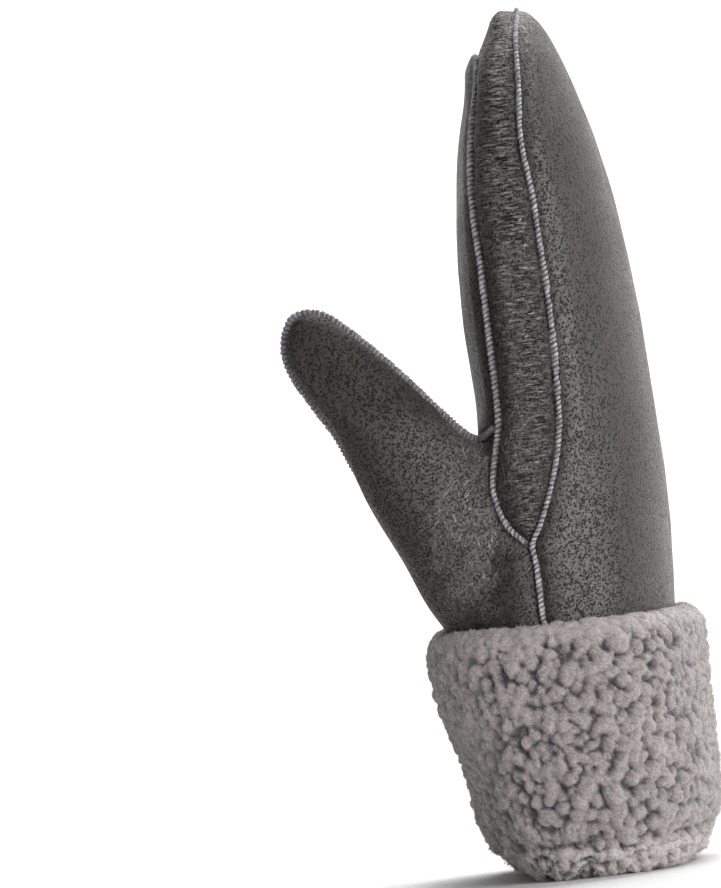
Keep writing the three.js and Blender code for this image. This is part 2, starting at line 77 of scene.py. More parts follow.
# Sections of the thumb, from its root to its end. The columns are the place in thumb lengths,
# the underside and the upper side in thumb widths, the thickness in thumb thicknesses and the
# way out to the side in thumb offsets.
THUMB = np.array([
    [-0.25, -0.7, 0.74, 1.1, 0.6],
    [0.045, -0.647, 0.667, 1.22, 0.77],
    [0.244, -0.548, 0.593, 1.14, 0.91],
    [0.398, -0.477, 0.523, 1, 0.97],
    [0.516, -0.395, 0.459, 0.886, 1],
    [0.643, -0.301, 0.42, 0.8, 1],
    [0.76, -0.279, 0.375, 0.714, 1],
    [0.869, -0.252, 0.316, 0.6, 1],
    [0.941, -0.178, 0.259, 0.457, 1],
    [0.982, -0.06, 0.17, 0.25, 1],
    [1, 0.03, 0.08, 0.06, 1],
])
# The two long seams. The columns are the height above the cuff in hand lengths, then where the
# back seam and the palm seam lie, in hand depths, at the index finger, the middle and the little
# finger.
SEAMS = np.array([
    [-0.47, -0.17, -0.17, -0.155, -0.155, -0.14, -0.14],
    [0, -0.17, -0.17, -0.155, -0.155, -0.14, -0.14],
    [0.1, -0.172, -0.172, -0.151, -0.151, -0.13, -0.13],
    [0.13, -0.185, -0.195, -0.155, -0.155, -0.125, -0.125],
    [0.155, -0.14, -0.275, -0.128, -0.128, -0.12, -0.12],
    [0.185, -0.095, -0.33, -0.096, -0.096, -0.115, -0.115],
    [0.225, -0.046, -0.365, -0.065, -0.095, -0.11, -0.11],
    [0.265, -0.007, -0.36, -0.042, -0.071, -0.105, -0.105],
    [0.31, 0.024, -0.315, -0.022, -0.052, -0.1, -0.1],
    [0.335, 0.034, -0.295, -0.014, -0.044, -0.098, -0.098],
    [0.4, 0.044, -0.29, -0.002, -0.032, -0.09, -0.09],
    [0.5, 0.049, -0.29, 0.003, -0.028, -0.08, -0.08],
    [0.56, 0.044, -0.294, 0.002, -0.029, -0.07, -0.085],
    [0.6, 0.039, -0.296, 0.003, -0.027, -0.06, -0.115],
    [0.7, 0.027, -0.33, 0.013, -0.018, -0.035, -0.18],
    [0.78, 0.005, -0.317, 0.011, -0.01, -0.015, -0.205],
    [0.87, 0.024, -0.261, 0.01, -0.03, 0.02, -0.215],
    [0.9, 0.03, -0.237, 0.021, -0.1, 0.035, -0.21],
    [0.935, 0.04, -0.21, 0.035, -0.2, 0.05, -0.21],
    [0.96, 0.049, -0.3, 0.047, -0.3, 0.06, -0.3],
    [1, 0.08, -0.5, 0.08, -0.5, 0.08, -0.5],
    [1.05, 0.095, -0.65, 0.095, -0.65, 0.095, -0.65],
])
SEAM_AT, SEAM_BEND, LEAST_HALF = 0.9, 0.25, 0.1
FINE = 6  # steps along a section's curve for each point kept of it


def smooth(x, low, high):
    """A soft step from 0 at low to 1 at high."""
    t = np.clip((x - low) / (high - low), 0, 1)
    return t * t * (3 - 2 * t)


def spline(table, place):
    """Rows of a table at places between its rows, on a smooth curve through every row."""
    place = np.atleast_1d(np.asarray(place, float))
    last = len(table) - 1
    row = np.minimum(np.floor(place).astype(int), last - 1)
    a, b, c, d = (table[np.clip(row + step, 0, last)] for step in (-1, 0, 1, 2))
    t = (place - row)[:, None]
    return b + (t / 2) * (c - a + t * (2 * a - 5 * b + 4 * c - d + t * (3 * (b - c) + d - a)))


def grown(radius, height, last, place, slope_span=0.25):
    """The outward and upward parts of the unit normal of a curve of height against radius."""
    low, high = np.maximum(place - slope_span, 0), np.minimum(place + slope_span, last)
    out, up = height(high) - height(low), radius(low) - radius(high)
    length = np.hypot(out, up)
    return out / length, up / length


def hill(x, middle, half):
    """A bell curve, 1 at the middle and 1/e at half a width from it."""
    return np.exp(-((x - middle) / half) ** 2)


def oval(angle, low, high, widest, half, low_power, high_power):
    """Points of a squarish oval whose two sides have their own reach and squareness."""
    c, s = np.cos(angle), np.sin(angle)
    power = np.where(c < 0, 2 / low_power, 2 / high_power)
    reach = np.where(c < 0, widest - low, high - widest)
    across = widest + reach * np.sign(c) * np.abs(c) ** power
    return across, half * np.sign(s) * np.abs(s) ** power


def evenly(across, aside, count):
    """count points spaced evenly along each closed curve, one curve a row."""
    step = np.hypot(np.diff(across, axis=1), np.diff(aside, axis=1))
    run = np.concatenate([np.zeros((len(step), 1)), np.cumsum(step, axis=1)], axis=1)
    goal = np.arange(count) / count
    out = [(np.interp(goal * r[-1], r, a), np.interp(goal * r[-1], r, s))
           for r, a, s in zip(run, across, aside)]
    return np.array([o[0] for o in out]), np.array([o[1] for o in out])


def hand_height(place):
    rows = spline(HAND[:, :2], place)
    return rows[:, 0] * CUFF_HEIGHT + rows[:, 1] * HAND_LENGTH


def hand_radius(place):
    rows = spline(HAND, place)
    return (rows[:, 5] * HAND_WIDTH + (rows[:, 3] - rows[:, 2]) * HAND_DEPTH) / 4


def hand_section(place, grow):
    """low, high, widest, half and height of the hand's sections."""
    place = np.atleast_1d(np.asarray(place, float))
    rows = spline(HAND, place)
    out, up = grown(hand_radius, hand_height, len(HAND) - 1, place)
    return (rows[:, 2] * HAND_DEPTH - grow * out, rows[:, 3] * HAND_DEPTH + grow * out,
            rows[:, 4] * HAND_DEPTH, rows[:, 5] * HAND_WIDTH / 2 + grow * out,
            hand_height(place) + grow * up)


def hand_loops(section, count):
    """Points round the hand, shaped (section, count, 3), in the hand's own millimetres."""
    low, high, widest, half, height = (np.asarray(v, float)[:, None] for v in section)
    angle = np.linspace(0, 2 * np.pi, count * FINE + 1)[None]
    across, aside = oval(angle, low, high, widest, half, PALM_SQUARENESS, BACK_SQUARENESS)
    across, aside = evenly(across, aside, count)
    return np.stack([across, aside, np.broadcast_to(height, across.shape)], axis=2)


def thumb_along(place):
    return spline(THUMB, place)[:, 0] * THUMB_LENGTH


def thumb_radius(place):
    rows = spline(THUMB, place)
    return (rows[:, 2] - rows[:, 1]) * THUMB_WIDTH / 2


def thumb_loops(place, grow, count):
    """Points round the thumb, leaning out from its root, in the hand's own millimetres."""
    place = np.asarray(place, float)
    rows = spline(THUMB, place)
    out, up = grown(thumb_radius, thumb_along, len(THUMB) - 1, place)
    low = (rows[:, 1] * THUMB_WIDTH - grow * out)[:, None]
    high = (rows[:, 2] * THUMB_WIDTH + grow * out)[:, None]
    half = (rows[:, 3] * THUMB_THICKNESS / 2 + grow * out)[:, None]
    angle = np.linspace(0, 2 * np.pi, count * FINE + 1)[None]
    across, aside = oval(angle, low, high, (low + high) / 2, half,
                         THUMB_SQUARENESS, THUMB_SQUARENESS)
    across, aside = evenly(across, aside, count)
    along = (thumb_along(place) + grow * up)[:, None]
    x = -THUMB_ROOT_IN - along * math.sin(THUMB_LEAN) + across * math.cos(THUMB_LEAN)
    z = (CUFF_HEIGHT + THUMB_ROOT_RISE
         + along * math.cos(THUMB_LEAN) + across * math.sin(THUMB_LEAN))
    return np.stack([x, aside - (rows[:, 4] * THUMB_OFFSET)[:, None], z], axis=2)


def to_scene(points):
    """The scene's metres from the hand's own millimetres."""
    return (np.asarray(points) + (MIDDLE[0], MIDDLE[1], 0)) * MM


def to_own(points):
    """The hand's own millimetres from the scene's metres."""
    return np.asarray(points) / MM - (MIDDLE[0], MIDDLE[1], 0)


def make_mesh(name, vertices, faces):
    mesh = bpy.data.meshes.new(name)
    mesh.from_pydata(np.asarray(vertices).tolist(), [], faces)
    obj = bpy.data.objects.new(name, mesh)
    bpy.context.scene.collection.objects.link(obj)
    return obj


def grid_faces(rows, columns, closed=True, start=0):
    """Quads over a grid of points, joined round each row when closed."""
    r = np.arange(rows - 1)[:, None]
    c = np.arange(columns if closed else columns - 1)[None]
    n = (c + 1) % columns
    quads = np.stack([r * columns + c, r * columns + n, (r + 1) * columns + n,
                      (r + 1) * columns + c], axis=2)
    return (quads.reshape(-1, 4) + start).tolist()


def loft(name, loops):
    """A closed surface through loops of points, with a cap at each end."""
    rows, count = loops.shape[:2]
    vertices = np.concatenate([loops.reshape(-1, 3), [loops[0].mean(0)], [loops[-1].mean(0)]])
    faces = grid_faces(rows, count)
    last, low, high = (rows - 1) * count, rows * count, rows * count + 1
    for i in range(count):
        n = (i + 1) % count
        faces.append([n, i, low])
        faces.append([last + i, last + n, high])
    return make_mesh(name, to_scene(vertices), faces)


def positions(mesh):
    co = np.empty(len(mesh.vertices) * 3, np.float64)
    mesh.vertices.foreach_get("co", co)
    return co.reshape(-1, 3)


def normals(mesh):
    n = np.empty(len(mesh.vertices) * 3, np.float64)
    mesh.vertices.foreach_get("normal", n)
    return n.reshape(-1, 3)


def set_positions(mesh, co):
    mesh.vertices.foreach_set("co", co.astype(np.float32).ravel())
    mesh.update()


def apply_modifiers(obj):
    graph = bpy.context.evaluated_depsgraph_get()
    mesh = bpy.data.meshes.new_from_object(obj.evaluated_get(graph))
    old = obj.data
    obj.modifiers.clear()
    obj.data = mesh
    bpy.data.meshes.remove(old)


def shade_smooth(obj):
    obj.data.polygons.foreach_set("use_smooth", np.ones(len(obj.data.polygons), bool))
    obj.data.update()


def edge_ends(mesh):
    ends = np.empty(len(mesh.edges) * 2, np.int64)
    mesh.edges.foreach_get("vertices", ends)
    return ends.reshape(-1, 2)


def laplacian(co, ends, share, rounds):
    """co moved towards the mean of its neighbours by a share each round."""
    count = len(co)
    degree = np.bincount(ends.ravel(), minlength=count)[:, None]
    for _ in range(rounds):
        total = np.stack([np.bincount(ends[:, 0], co[ends[:, 1], k], count) +
                          np.bincount(ends[:, 1], co[ends[:, 0], k], count) for k in range(3)], 1)
        co = co + (total / np.maximum(degree, 1) - co) * share[:, None]
    return co


def wave_noise(points, scale, seed=0.0):
    """Smooth noise about -1 to 1, with features of about scale."""
    shift = Vector((seed * 3.1, seed * 1.7, seed * 2.3))
    return np.array([noise.noise(Vector(p) / scale + shift) for p in points])


# Where the seams run
def half_width(z):
    place = np.linspace(0, len(HAND) - 1, 400)
    section = hand_section(place, 0)
    order = np.argsort(section[4])
    half = np.interp(z, section[4][order], section[3][order], right=0)
    return np.maximum(half, LEAST_HALF * HAND_WIDTH)  # the tip's own half width is nought


def seam_x(points, back):
    """Where a long seam's cut lies across the hand, at each point's height and side."""
    place = np.linspace(0, len(SEAMS) - 1, 600)
    rows = spline(SEAMS, place)
    height = CUFF_HEIGHT + rows[:, 0] * HAND_LENGTH
    index, mid, little = (np.interp(points[:, 2], height, rows[:, n - back]) * HAND_DEPTH
                          for n in (2, 4, 6))
    share = points[:, 1] / half_width(points[:, 2])
    side = np.where(share < 0, index, little)
    bend = np.hypot(share, SEAM_BEND) - SEAM_BEND
    return mid + (side - mid) * bend / (math.hypot(SEAM_AT, SEAM_BEND) - SEAM_BEND)


CROTCH_ALONG, CROTCH_OVER = THUMB[3, 0] * THUMB_LENGTH, THUMB[3, 2] * THUMB_WIDTH
CROTCH_X = (-THUMB_ROOT_IN - CROTCH_ALONG * math.sin(THUMB_LEAN)
            + CROTCH_OVER * math.cos(THUMB_LEAN))
CROTCH_Z = (CUFF_HEIGHT + THUMB_ROOT_RISE + CROTCH_ALONG * math.cos(THUMB_LEAN)
            + CROTCH_OVER * math.sin(THUMB_LEAN))


def thumb_seam_y(points):
    """Where the thumb's seam lies: down the heel of the hand, and past the hand's side above."""
    heel_top = CROTCH_Z + CROTCH_TURN
    on_heel = smooth(points[:, 2], heel_top - HEEL_SEAM_DROP, heel_top)
    from_x, from_z = CROTCH_X - CROTCH_TURN * TURN_BEFORE_X, CROTCH_Z - CROTCH_TURN * TURN_BEFORE_Z
    turn = (smooth(points[:, 0], from_x, from_x + CROTCH_TURN)
            * smooth(points[:, 2], from_z, from_z + CROTCH_TURN))
    below = -HEEL_SEAM_IN + (HEEL_SEAM_IN - THUMB_OFFSET) * on_heel
    return below + (-HAND_WIDTH * PAST_SIDE - below) * turn


# Camera, as in the photograph: level with the middle of the mitten and a little rolled
FRAME_HEIGHT, CAMERA_AWAY, CAMERA_ROLL = 291.1, 3000, math.radians(6.5)
CAMERA_LEFT, CAMERA_HEIGHT, SENSOR = 62.2, 147.1, 24
camera = bpy.data.objects.new("camera", bpy.data.cameras.new("camera"))
bpy.context.scene.collection.objects.link(camera)
camera.matrix_world = (
    Matrix.Translation(((MIDDLE[0] - CAMERA_LEFT) * MM, (MIDDLE[1] - CAMERA_AWAY) * MM,
                        CAMERA_HEIGHT * MM))
    @ Matrix.Rotation(math.radians(90), 4, "X") @ Matrix.Rotation(-CAMERA_ROLL, 4, "Z"))
camera.data.sensor_fit = "VERTICAL"
camera.data.sensor_height = SENSOR
camera.data.lens = SENSOR * CAMERA_AWAY / FRAME_HEIGHT
camera.data.clip_end = 20
bpy.context.scene.camera = camera

# The leather's outer form: hand and thumb joined, with a soft hollow where they meet
HAND_LOOPS, HAND_POINTS, THUMB_LOOPS, THUMB_POINTS = 240, 160, 150, 96
hand_places = np.linspace(0, len(HAND) - 1, HAND_LOOPS)
hand_surface = loft("hand_form", hand_loops(hand_section(hand_places, 0), HAND_POINTS))
thumb_places = np.linspace(0, len(THUMB) - 1, THUMB_LOOPS)
thumb_surface = loft("thumb_form", thumb_loops(thumb_places, 0, THUMB_POINTS))


def tree_of(obj):
    return BVHTree.FromPolygons([v.co for v in obj.data.vertices],
                                [p.vertices for p in obj.data.polygons])


def tree_of_points(points):
    tree = kdtree.KDTree(len(points))
    for n, point in enumerate(points):
        tree.insert(point, n)
    tree.balance()
    return tree


hand_tree, thumb_tree = tree_of(hand_surface), tree_of(thumb_surface)

VOXEL = 0.95 * MM
form = bpy.data.objects.new("form", hand_surface.data.copy())
bpy.context.scene.collection.objects.link(form)
joined = bmesh.new()
joined.from_mesh(hand_surface.data)
joined.from_mesh(thumb_surface.data)
joined.to_mesh(form.data)
joined.free()
remesh = form.modifiers.new("remesh", "REMESH")
remesh.mode = "VOXEL"
remesh.voxel_size = VOXEL
apply_modifiers(form)

co = positions(form.data)
far = np.empty(len(co))
for i, p in enumerate(co):
    hand_at, _, _, to_hand = hand_tree.find_nearest(p)
    thumb_at, _, _, to_thumb = thumb_tree.find_nearest(p)
    far[i] = max(to_hand, to_thumb) / MM
    nearest = hand_at if to_hand < to_thumb else thumb_at
    if min(to_hand, to_thumb) < VOXEL:
        co[i] = nearest
ends = edge_ends(form.data)
co = laplacian(co, ends, np.full(len(co), 0.3), 3)
# The hollow where hand and thumb meet is rounded most, and past JOIN_FAR not at all
JOIN_NEAR, JOIN_FAR, JOIN_ROUNDS = 3, 13, 60
co = laplacian(co, ends, 0.6 * (1 - smooth(far, JOIN_NEAR, JOIN_FAR)), JOIN_ROUNDS)
set_positions(form.data, co)

# How far each point of that form lies past each seam
own = to_own(co)
seam_values = {
    "back": own[:, 0] - seam_x(own, True),
    "palm": own[:, 0] - seam_x(own, False),
    "thumb": own[:, 1] - thumb_seam_y(own),
}
faces = [tuple(p.vertices) for p in form.data.polygons]
form_normals = normals(form.data)


def contour(values, keep):
    """The longest line along the form where values pass through nought, as points."""
    crossing, links = {}, {}
    for face in faces:
        found = []
        for a, b in zip(face, face[1:] + face[:1]):
            if (values[a] > 0) != (values[b] > 0):
                key = (a, b) if a < b else (b, a)
                t = values[key[0]] / (values[key[0]] - values[key[1]])
                point = co[key[0]] * (1 - t) + co[key[1]] * t
                if keep(to_own(point[None])[0]):
                    crossing[key] = point
                    found.append(key)
        if len(found) == 2:
            links.setdefault(found[0], []).append(found[1])
            links.setdefault(found[1], []).append(found[0])
    best, seen = [], set()
    starts = [k for k, v in links.items() if len(v) == 1] + list(links)
    for start in starts:
        if start in seen:
            continue
        line, key = [], start
        while key is not None and key not in seen:
            seen.add(key)
            line.append(key)
            key = next((n for n in links[key] if n not in seen), None)
        if len(line) > len(best):
            best = line
    return np.array([crossing[k] for k in best])


def even_line(points, step):
    """A smoothed open line with points a step apart."""
    for _ in range(12):
        points[1:-1] = points[1:-1] * 0.5 + (points[:-2] + points[2:]) * 0.25
    run = np.concatenate([[0], np.cumsum(np.linalg.norm(np.diff(points, axis=0), axis=1))])
    at = np.arange(0, run[-1], step)
    return np.stack([np.interp(at, run, points[:, k]) for k in range(3)], axis=1)


LOW = 9  # the leather's own lower edge, hidden in the cuff
LEAST_GUSSET, LEAST_GUSSET_FAR, THUMB_SEAM_END = 1.0, 2.2, 1.2
LINE_STEP = 0.5


def above_cuff_foot(p):
    return p[2] > LOW


def beside_gusset(p):
    width = (seam_x(p[None], True) - seam_x(p[None], False))[0]
    return above_cuff_foot(p) and width > (LEAST_GUSSET if p[1] < 0 else LEAST_GUSSET_FAR)


def on_palm_side(p):
    return above_cuff_foot(p) and p[0] < seam_x(p[None], False)[0] - THUMB_SEAM_END


kept_where = {"back": above_cuff_foot, "palm": beside_gusset, "thumb": on_palm_side}
lines = {name: even_line(contour(seam_values[name], keep), LINE_STEP * MM)
         for name, keep in kept_where.items()}

# Valleys beside the seams, with the panels swelling between them
seam_points = tree_of_points(np.concatenate(list(lines.values())))
to_seam = np.array([seam_points.find(p)[2] for p in co]) / MM
own = to_own(co)
above = own[:, 2]
VALLEY, VALLEY_HALF = 1.4, 2.2
SWELL, SWELL_AT, SWELL_HALF = 0.45, 7.5, 3.2
depth = -VALLEY * hill(to_seam, 0, VALLEY_HALF) + SWELL * hill(to_seam, SWELL_AT, SWELL_HALF)
depth *= 1 - 0.9 * smooth(above, 256, 274)  # the valleys run out at the tip
visible = smooth(above, CUFF_HEIGHT - 12, CUFF_HEIGHT + 4)


def ridged(points, stretch, seed):
    """Sharp-crested noise from 0 to 1, with features of the three given lengths."""
    shift = Vector((seed, seed * 1.3, seed * 0.7))
    sx, sy, sz = stretch
    return np.array([1 - abs(noise.noise(Vector((p[0] / sx, p[1] / sy, p[2] / sz)) + shift)) * 2
                     for p in points])


def blob(centre, radii):
    """A soft mask round a centre, 1 in the middle and 0 past the radii."""
    d = np.linalg.norm((own - centre) / radii, axis=1)
    return 1 - smooth(d, 0.2, 1)


# Puckers square to the seams, and creases where the thumb bends away from the palm
PUCKER, PUCKER_AT, PUCKER_HALF = 0.22, 3.5, 2.5
ALONG_SEAM = (14, 14, 2.6)
beside_seam = hill(to_seam, PUCKER_AT, PUCKER_HALF)
depth += PUCKER * (ridged(own, ALONG_SEAM, 4.0) * beside_seam - 0.3 * beside_seam)
on_gusset = (seam_values["back"] < 0) & (seam_values["palm"] > 0)
GUSSET_RIDGES, GUSSET_BULGE, BULGE_HALF = 0.24, 1.6, 6
depth += np.where(on_gusset, GUSSET_RIDGES * (ridged(own, ALONG_SEAM, 9.0) - 0.5), 0)
depth += np.where(on_gusset & (own[:, 1] < 0),
                  GUSSET_BULGE * (1 - hill(to_seam, 0, BULGE_HALF)), 0)
bend = blob((-31, -45, 113), (19, 45, 40))
tilted = np.stack([own[:, 0] * 0.8 + above * 0.6, own[:, 1], above * 0.8 - own[:, 0] * 0.6], axis=1)
depth += bend * 0.6 * (ridged(tilted, (8, 8, 2.4), 2.0) - 0.5)
depth += bend * 0.45 * (ridged(own, (2.4, 6, 6), 6.0) - 0.5)
crotch_fold = blob((CROTCH_X - 2, -36, CROTCH_Z - 6), (16, 30, 14))
depth += crotch_fold * 0.4 * (ridged(own, (3.2, 9, 9), 3.0) - 0.5)
leaning = np.stack([own[:, 0] + above * 0.55, own[:, 1], above * 0.2], axis=1)
depth += smooth(above, 240, 275) * 0.12 * (ridged(leaning, (2.2, 14, 14), 5.0) - 0.5)
depth += 0.5 * wave_noise(own, 34, 1.0) + 0.2 * wave_noise(own, 13, 2.0)
depth *= 0.15 + 0.85 * visible

# At the tip the gusset's shoulder sinks and the palm panel's top rises, as in the photograph
shoulder = smooth(above, 262, 277) * smooth(1.0 - own[:, 0], 0, 9)
palm_top = smooth(above, 250, 266) * smooth(1.5 - seam_values["palm"], 0, 3)
SHOULDER_MOVE = (2.6 * MM, 0, -1.2 * MM)
PALM_TOP_MOVE = (-0.3 * MM, 0, 2.4 * MM)
co = co + form_normals * (depth * MM)[:, None] + shoulder[:, None] * SHOULDER_MOVE
co = co + palm_top[:, None] * PALM_TOP_MOVE
set_positions(form.data, co)
form_normals = normals(form.data)


# Materials
def material(name, colour, roughness):
    made = bpy.data.materials.new(name)
    made.use_nodes = True
    shader = made.node_tree.nodes["Principled BSDF"]
    shader.inputs["Base Color"].default_value = (*colour, 1)
    shader.inputs["Roughness"].default_value = roughness
    return made, shader


class Nodes:
    """Short ways to add and join shader nodes."""

    def __init__(self, made):
        self.tree = made.node_tree
        coords = self.tree.nodes.new("ShaderNodeTexCoord")
        self.place = coords.outputs["Object"]

    def add(self, kind, inputs=None, **settings):
        node = self.tree.nodes.new(kind)
        for key, value in settings.items():
            setattr(node, key, value)
        for key, value in (inputs or {}).items():
            if isinstance(value, bpy.types.NodeSocket):
                self.tree.links.new(value, node.inputs[key])
            else:
                node.inputs[key].default_value = value
        return node

    def attribute(self, name):
        return self.add("ShaderNodeAttribute", attribute_name=name).outputs["Fac"]

    def noise(self, scale, detail=3.0, roughness=0.55, place=None, distortion=0.0):
        return self.add("ShaderNodeTexNoise", {
            "Vector": place or self.place, "Scale": scale, "Detail": detail,
            "Roughness": roughness, "Distortion": distortion}).outputs["Fac"]

    def ramp(self, value, low, high, out_low=0.0, out_high=1.0):
        """A soft step from out_low to out_high as value goes from low to high."""
        return self.add("ShaderNodeMapRange", {
            "Value": value, "From Min": low, "From Max": high,
            "To Min": out_low, "To Max": out_high}, interpolation_type="SMOOTHSTEP").outputs[0]

    def maths(self, operation, a, b=0.0):
        return self.add("ShaderNodeMath", {0: a, 1: b}, operation=operation).outputs[0]

    def mix(self, share, a, b):
        return self.add("ShaderNodeMix", {0: share, 6: a, 7: b}, data_type="RGBA").outputs[2]

    def bump(self, height, distance, strength=1.0, normal=None):
        inputs = {"Height": height, "Distance": distance, "Strength": strength}
        if normal:
            inputs["Normal"] = normal
        return self.add("ShaderNodeBump", inputs).outputs["Normal"]

    def link(self, a, b):
        self.tree.links.new(a, b)


# Colours of the hide, the thread and the wool
HIDE_DARK, HIDE_PALE = (0.07, 0.067, 0.064, 1), (0.098, 0.094, 0.09, 1)
HIDE_LIT_STROKES, HIDE_STROKE_HIGHLIGHT = (0.16, 0.155, 0.148, 1), (0.3, 0.295, 0.285, 1)
HIDE_BENT_LIT, HIDE_CREASE_HIGHLIGHT = (0.2, 0.195, 0.185, 1), (0.32, 0.31, 0.295, 1)
HIDE_PAINTED_SHADE, HIDE_PIT = (0.052, 0.0465, 0.043, 1), (0.007, 0.007, 0.007, 1)
THREAD_DARK, THREAD_PALE = (0.22, 0.205, 0.225, 1), (0.46, 0.435, 0.465, 1)
THREAD_GAP = (0.11, 0.103, 0.11, 1)
WOOL_DARK, WOOL_PALE = (0.275, 0.234, 0.229, 1), (0.365, 0.315, 0.308, 1)
FIBRE_DARK, FIBRE_PALE = (0.12, 0.1, 0.098, 1), (0.68, 0.6, 0.59, 1)
WOOL_PAINTED_LIGHT, WOOL_HOLLOW_SHADE = (0.72, 0.65, 0.64, 1), (0.012, 0.009, 0.009, 1)

# Sizes of the grain, as cells to the metre
DOTS, SMALL_DOTS, CRACKS, GRAIN_PATCHES, CRACK_PATCHES, GRAIN_WARP = 980, 1450, 560, 340, 520, 700
GRAIN_SHIFT = 0.0007
# Creases where the hide is bent, drawn as painted highlights: how far they lean, and their width,
# depth and length in metres
CREASES = ((0.75, (0.0018, 0.007, 0.009)), (-0.1, (0.0015, 0.007, 0.008)))


def leather_material():
    made, shader = material("leather", (0.07, 0.068, 0.065), 0.42)
    n = Nodes(made)
    grain_and_sheen, lit_strokes_mask, bent_and_lit, painted_shade, matt_and_shaded = (
        n.attribute(name) for name in ("grain_and_sheen", "lit_strokes", "bent_and_lit", "painted_shade", "matt_and_shaded"))
    # Pits: two sizes of dots and some short cracks, all a little out of line
    warp = n.add("ShaderNodeTexNoise", {"Vector": n.place, "Scale": GRAIN_WARP, "Detail": 2.0})
    offset = n.add("ShaderNodeVectorMath", {0: warp.outputs["Color"], 1: (0.5, 0.5, 0.5)},
                   operation="SUBTRACT").outputs[0]
    moved = n.add("ShaderNodeVectorMath", {0: offset, "Scale": GRAIN_SHIFT},
                  operation="SCALE").outputs[0]
    place = n.add("ShaderNodeVectorMath", {0: n.place, 1: moved}, operation="ADD").outputs[0]
    dots = n.add("ShaderNodeTexVoronoi", {"Vector": place, "Scale": DOTS}).outputs["Distance"]
    small = n.add("ShaderNodeTexVoronoi",
                  {"Vector": place, "Scale": SMALL_DOTS}).outputs["Distance"]
    edges = n.add("ShaderNodeTexVoronoi", {"Vector": place, "Scale": CRACKS},
                  feature="DISTANCE_TO_EDGE").outputs["Distance"]
    patch = n.ramp(n.noise(GRAIN_PATCHES, 3.0), 0.36, 0.54, 0.85, 1.0)
    pit = n.maths("MULTIPLY", n.ramp(dots, 0.2, 0.42, 1.0, 0.0), patch)
    speck = n.maths("MULTIPLY", n.ramp(small, 0.14, 0.38, 0.85, 0.0), patch)
    crack = n.maths("MULTIPLY", n.ramp(edges, 0.01, 0.12, 0.9, 0.0),
                    n.ramp(n.noise(CRACK_PATCHES, 2.0), 0.52, 0.66))
    pits = n.maths("MAXIMUM", n.maths("MAXIMUM", pit, speck), crack)
    # Fine strokes square to a seam, painted as highlights with painted shade in the furrows between
    # them, and crinkles where the hide is bent, painted as highlights
    drawn = n.add("ShaderNodeVectorMath", {0: n.place, 1: (300.0, 300.0, 1500.0)},
                  operation="MULTIPLY").outputs[0]
    hairs = n.noise(1.0, 3.0, place=drawn, distortion=0.6)
    stroke_highlight = n.maths("MULTIPLY", n.ramp(hairs, 0.5, 0.66), lit_strokes_mask)
    furrow_shade = n.maths("MULTIPLY", n.ramp(hairs, 0.38, 0.5, 1.0, 0.0), lit_strokes_mask)
    # Crease lines, painted as highlights
    crease = 0.0
    for lean, size in CREASES:
        turned = n.add("ShaderNodeMapping", {"Vector": n.place, "Rotation": (0.0, lean, 0.0),
                                             "Scale": size}, vector_type="TEXTURE").outputs[0]
        fold = n.noise(1.0, 1.0, place=turned, distortion=0.15)
        fold = n.maths("ABSOLUTE", n.maths("SUBTRACT", fold, 0.5))
        crease = n.maths("MAXIMUM", n.ramp(fold, 0.006, 0.035, 1.0, 0.0), crease)
    crease = n.maths("MULTIPLY", crease, bent_and_lit)
    light = n.maths("MAXIMUM", stroke_highlight, crease)
    pits = n.maths("MAXIMUM", pits, furrow_shade)
    pits = n.maths("MULTIPLY", pits, n.maths("SUBTRACT", 1.0, n.maths("MULTIPLY", light, 0.85)))
    pits = n.maths("MULTIPLY", pits, grain_and_sheen)
    # Colour, from the widest differences to the finest
    colour = n.mix(n.ramp(n.noise(26.0, 4.0), 0.3, 0.7), HIDE_DARK, HIDE_PALE)
    # Painted light on the lit strokes, the bent places, the stroke highlights and the crease
    # highlights, painted shade on the shaded side, then the grain's pits
    for mask, share, over in ((lit_strokes_mask, 0.65, HIDE_LIT_STROKES), (painted_shade, 1.0, HIDE_PAINTED_SHADE),
                              (bent_and_lit, 0.2, HIDE_BENT_LIT), (stroke_highlight, 0.9, HIDE_STROKE_HIGHLIGHT),
                              (crease, 0.6, HIDE_CREASE_HIGHLIGHT), (pits, 1.0, HIDE_PIT)):
        colour = n.mix(n.maths("MULTIPLY", mask, share), colour, over)
    n.link(colour, shader.inputs["Base Color"])
    # Gloss, less in the pits and on the matt and shaded side
    rough = n.ramp(n.noise(60.0, 4.0), 0.3, 0.7, 0.34, 0.44)
    n.link(n.maths("ADD", rough, n.maths("MULTIPLY", pits, 0.3)), shader.inputs["Roughness"])
    gloss = n.maths("SUBTRACT", 1.0, n.maths("MULTIPLY", matt_and_shaded, 0.85))
    shine = n.maths("SUBTRACT", 0.5, n.maths("MULTIPLY", pits, 0.45))
    n.link(n.maths("MULTIPLY", shine, gloss), shader.inputs["Specular IOR Level"])
    normal = n.bump(n.noise(2600.0, 3.0), 0.00008, 0.5)
    normal = n.bump(n.noise(900.0, 3.0, distortion=0.8), 0.0004, 0.7, normal)
    normal = n.bump(n.maths("SUBTRACT", light, pits), 0.0007, 1.0, normal)
    n.link(normal, shader.inputs["Normal"])
    shader.inputs["Sheen Weight"].default_value = 0.04
    shader.inputs["Sheen Roughness"].default_value = 0.3
    shader.inputs["Sheen Tint"].default_value = (1.0, 0.94, 0.9, 1)
    shader.inputs["Specular Tint"].default_value = (1.0, 0.965, 0.94, 1)
    return made


def thread_material():
    made, shader = material("thread", THREAD_DARK[:3], 0.75)
    n = Nodes(made)
    colour = n.mix(n.ramp(n.noise(520.0, 3.0), 0.35, 0.65), THREAD_DARK, THREAD_PALE)
    colour = n.mix(n.attribute("gap"), colour, THREAD_GAP)
    n.link(colour, shader.inputs["Base Color"])
    n.link(n.bump(n.noise(3000.0, 3.0), 0.0001, 0.6), shader.inputs["Normal"])
    shader.inputs["Sheen Weight"].default_value = 0.2
    return made


